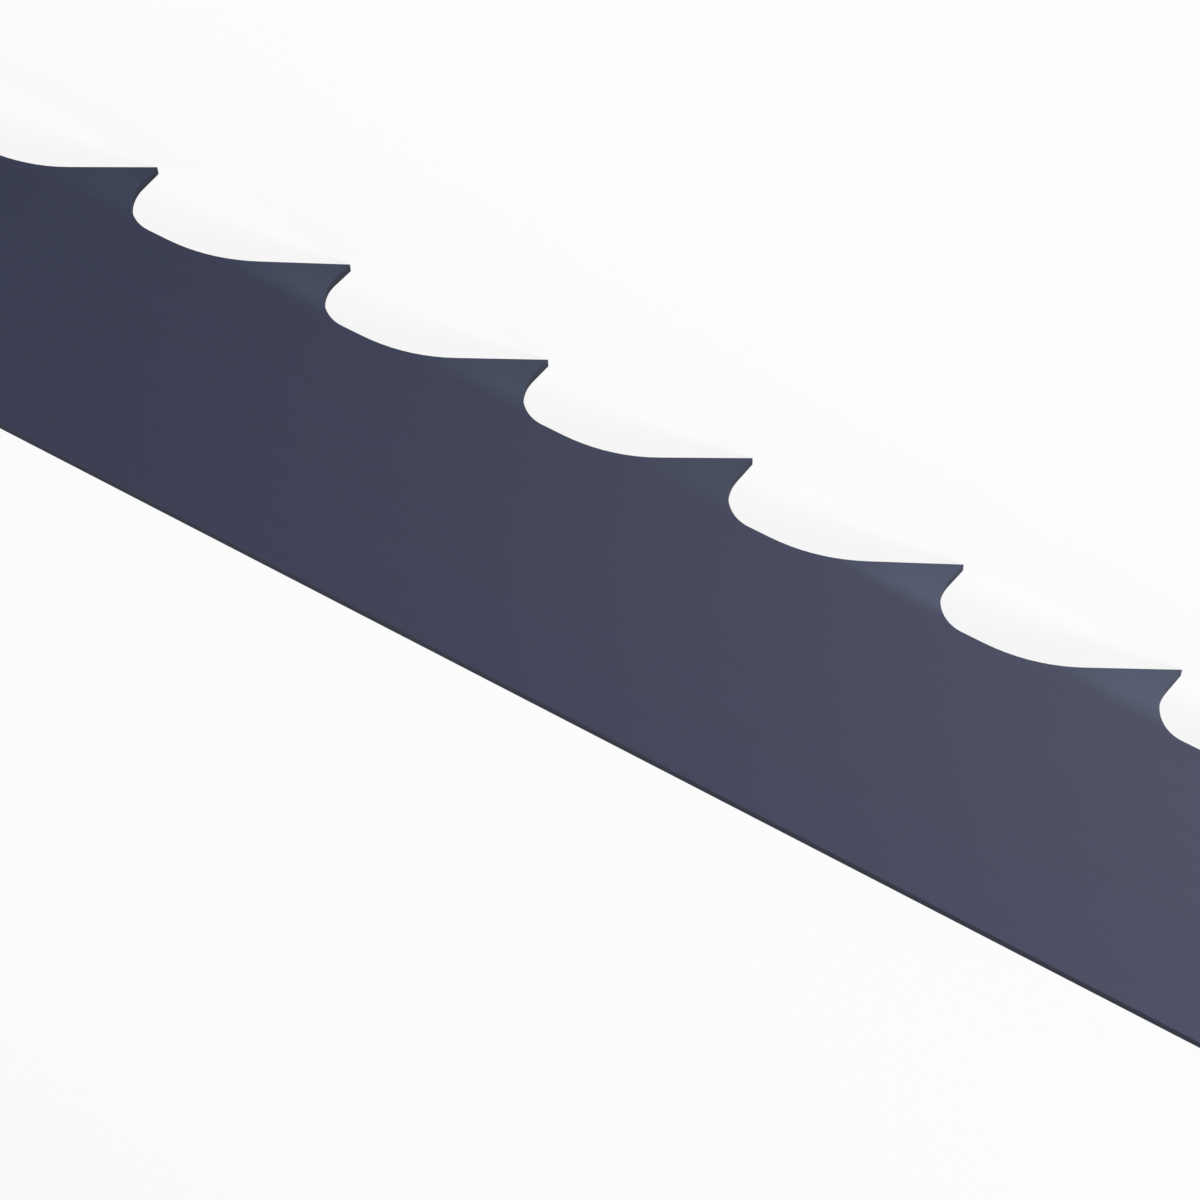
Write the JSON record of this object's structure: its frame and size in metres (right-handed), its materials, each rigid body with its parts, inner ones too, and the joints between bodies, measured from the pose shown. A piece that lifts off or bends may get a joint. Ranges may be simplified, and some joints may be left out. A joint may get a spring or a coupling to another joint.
{
  "type": "band saw blade",
  "caption": "Endless band saw blade in its running shape: a flat steel loop with hook teeth in a straight, out and in set, standing on its teeth.",
  "frame": {"origin": "centre of the loop, at the height of the tooth tips", "axes": "+X along the straight runs, +Y across the loop, +Z from the tooth tips towards the back edge"},
  "size_m": [1.269, 0.4092, 0.0318],
  "materials": {
    "blade_steel": "dark blue-grey tempered spring steel, satin"
  },
  "bodies": {
    "root": {"band_saw_blade": "blade_steel"}
  },
  "joints": []
}
